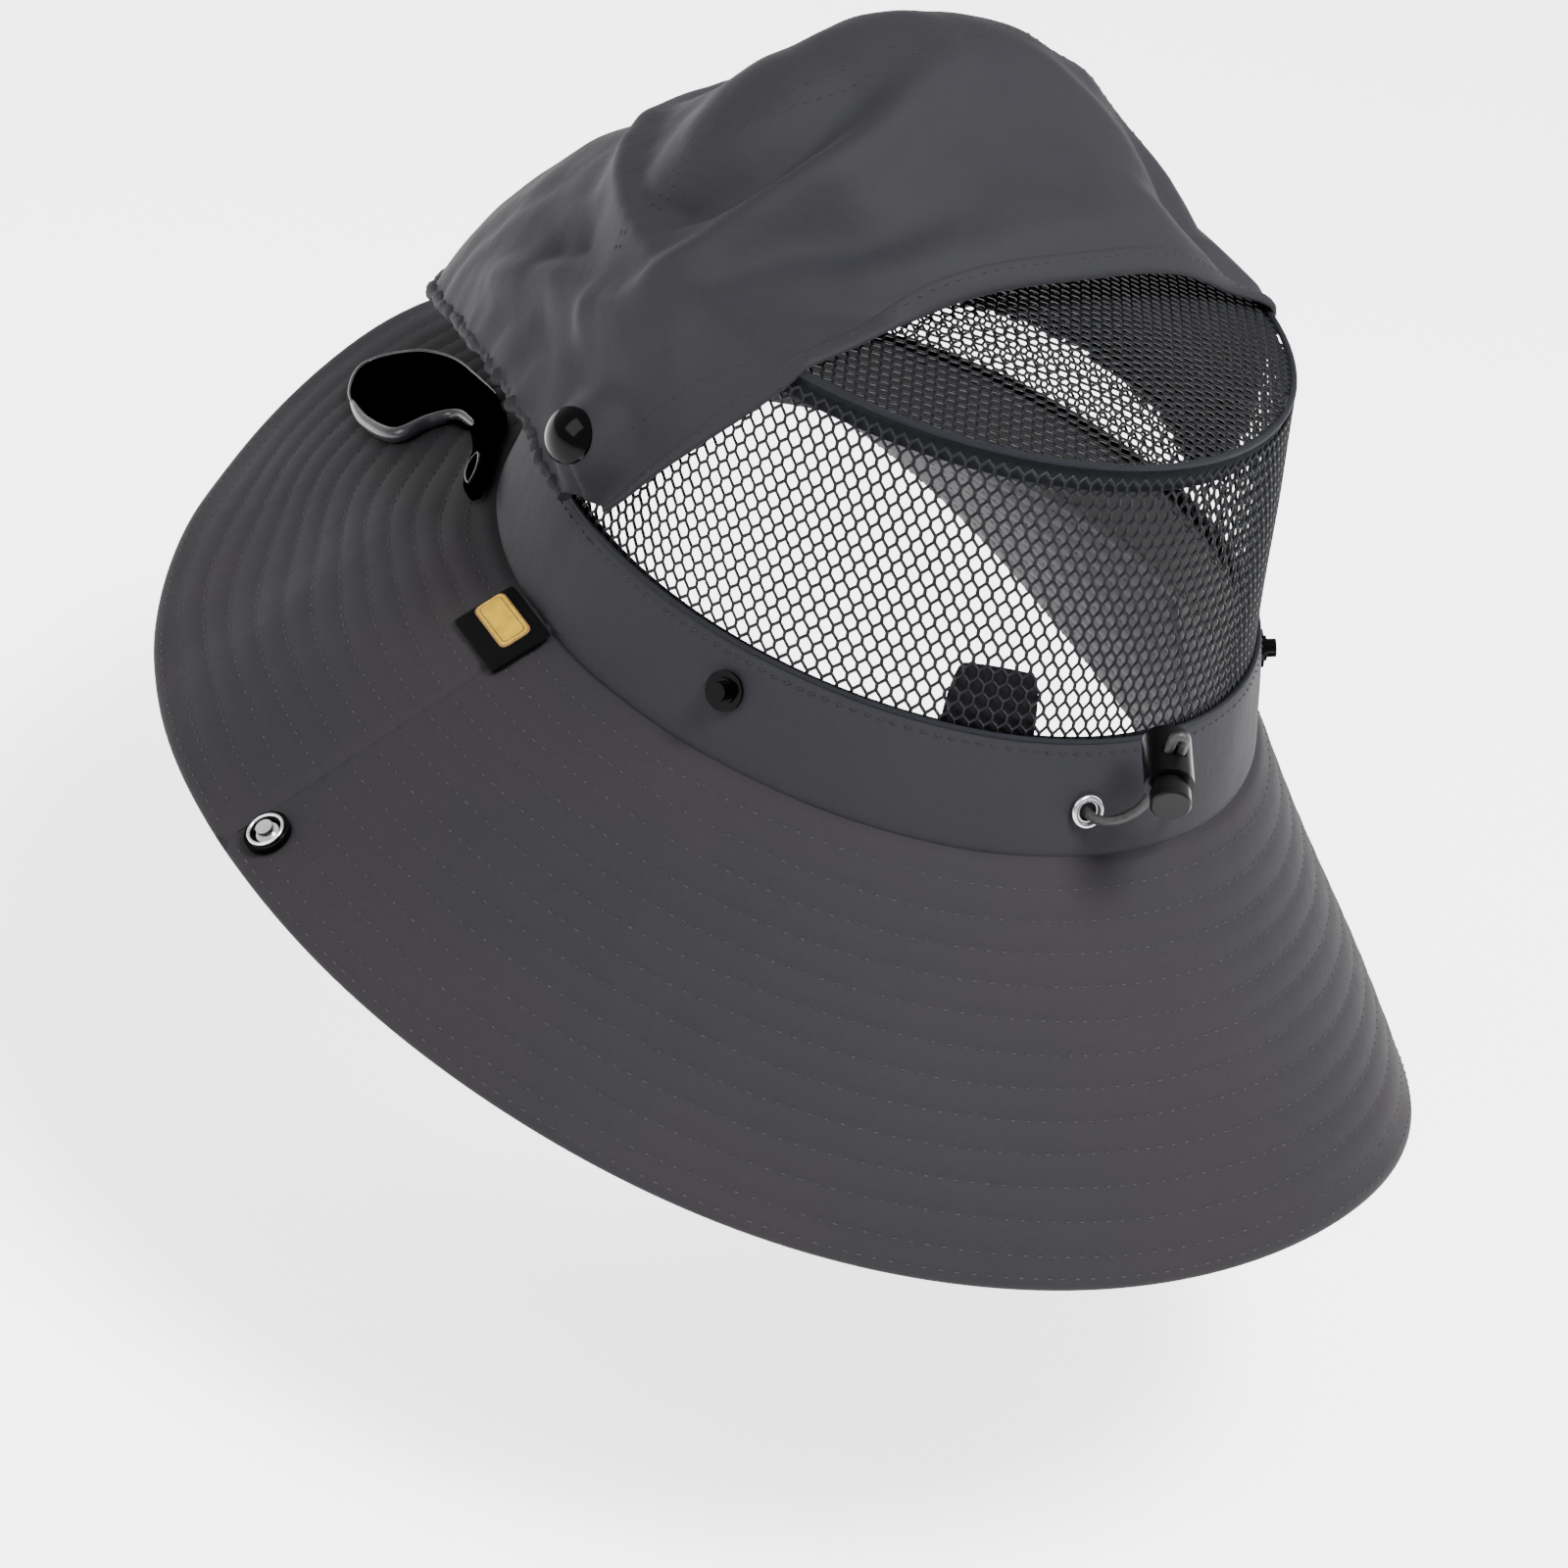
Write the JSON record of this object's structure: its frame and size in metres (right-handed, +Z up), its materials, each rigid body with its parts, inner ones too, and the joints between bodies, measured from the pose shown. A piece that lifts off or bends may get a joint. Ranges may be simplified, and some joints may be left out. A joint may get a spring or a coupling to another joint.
{
  "type": "ventilated wide-brimmed bee-veil hat",
  "caption": "Wide-brimmed soft hat with a quilted brim, mesh crown, cloth crown cover with a fold-forward hood, snap fasteners and a rear drawcord with cord lock.",
  "frame": {"origin": "centre of the head opening, in the plane of the seam between the band and the brim", "axes": "+Z up the crown, +Y to the wearer's back, +X to the wearer's left"},
  "size_m": [0.2725, 0.3453, 0.2005],
  "materials": {
    "brim_cloth": "plain woven, quilted with concentric stitching",
    "brim_lining": "plain woven",
    "stiffener": "non-woven interlining",
    "crown_cloth": "plain woven, soft",
    "sweat_cloth": "brushed knit",
    "mesh_net": "open warp-knit net",
    "tape": "woven tape",
    "elastic": "covered elastic",
    "snap_black": "glossy",
    "socket_black": "satin",
    "snap_steel": "satin",
    "label_weave": "woven satin",
    "badge_yellow": "woven, raised border",
    "tag_cloth": "satin tape",
    "cord": "braided",
    "eyelet_steel": "polished",
    "lock_plastic": "satin moulded",
    "plunger_plastic": "satin moulded",
    "spring_steel": "drawn wire",
    "strap_black": "smooth, glossy coated",
    "strap_rim": "smooth"
  },
  "bodies": {
    "hat": {"brim_front_upper": "brim_cloth", "brim_rear_upper": "brim_cloth", "brim_front_under": "brim_lining", "brim_rear_under": "brim_lining", "brim_stiffener": "stiffener", "crown_band": "crown_cloth", "sweatband": "sweat_cloth", "crown_mesh_wall": "mesh_net", "crown_mesh_top": "mesh_net", "crown_rim_tape": "tape", "cover_front": "crown_cloth", "cover_elastic": "elastic", "band_studs": "socket_black", "band_stud_backs": "snap_steel", "brim_stud_bases": "socket_black", "brim_stud_rings": "snap_steel", "brim_studs": "snap_steel", "brim_stud_backs": "snap_black", "label_loop": "label_weave", "label_badge": "badge_yellow", "care_tag": "tag_cloth", "drawcord": "cord", "cord_eyelets": "eyelet_steel", "strap_loop": "strap_black", "strap_tail": "strap_black", "strap_eyelet": "strap_rim"},
    "hood": {"cover_hood": "crown_cloth", "snap_caps": "snap_black", "snap_sockets": "socket_black"},
    "cord_lock": {"lock_body": "lock_plastic", "lock_spring": "spring_steel"},
    "plunger": {"lock_plunger": "plunger_plastic"}
  },
  "joints": [
    {"name": "hood_fold", "type": "hinge", "parent": "hat", "child": "hood", "pos_m": [0, 0, 0.028], "axis": [1, 0, 0], "range_deg": [0, 17]},
    {"name": "cord_lock_slide", "type": "slide", "parent": "hat", "child": "cord_lock", "axis": [0.1094, 0.2346, 0.9659], "range_m": [-0.003, 0.0015]},
    {"name": "plunger_press", "type": "slide", "parent": "cord_lock", "child": "plunger", "axis": [-0.4082, -0.8754, 0.2588], "range_m": [0, 0.002], "stiffness_N_per_m": 400, "springref_m": -0.002}
  ]
}
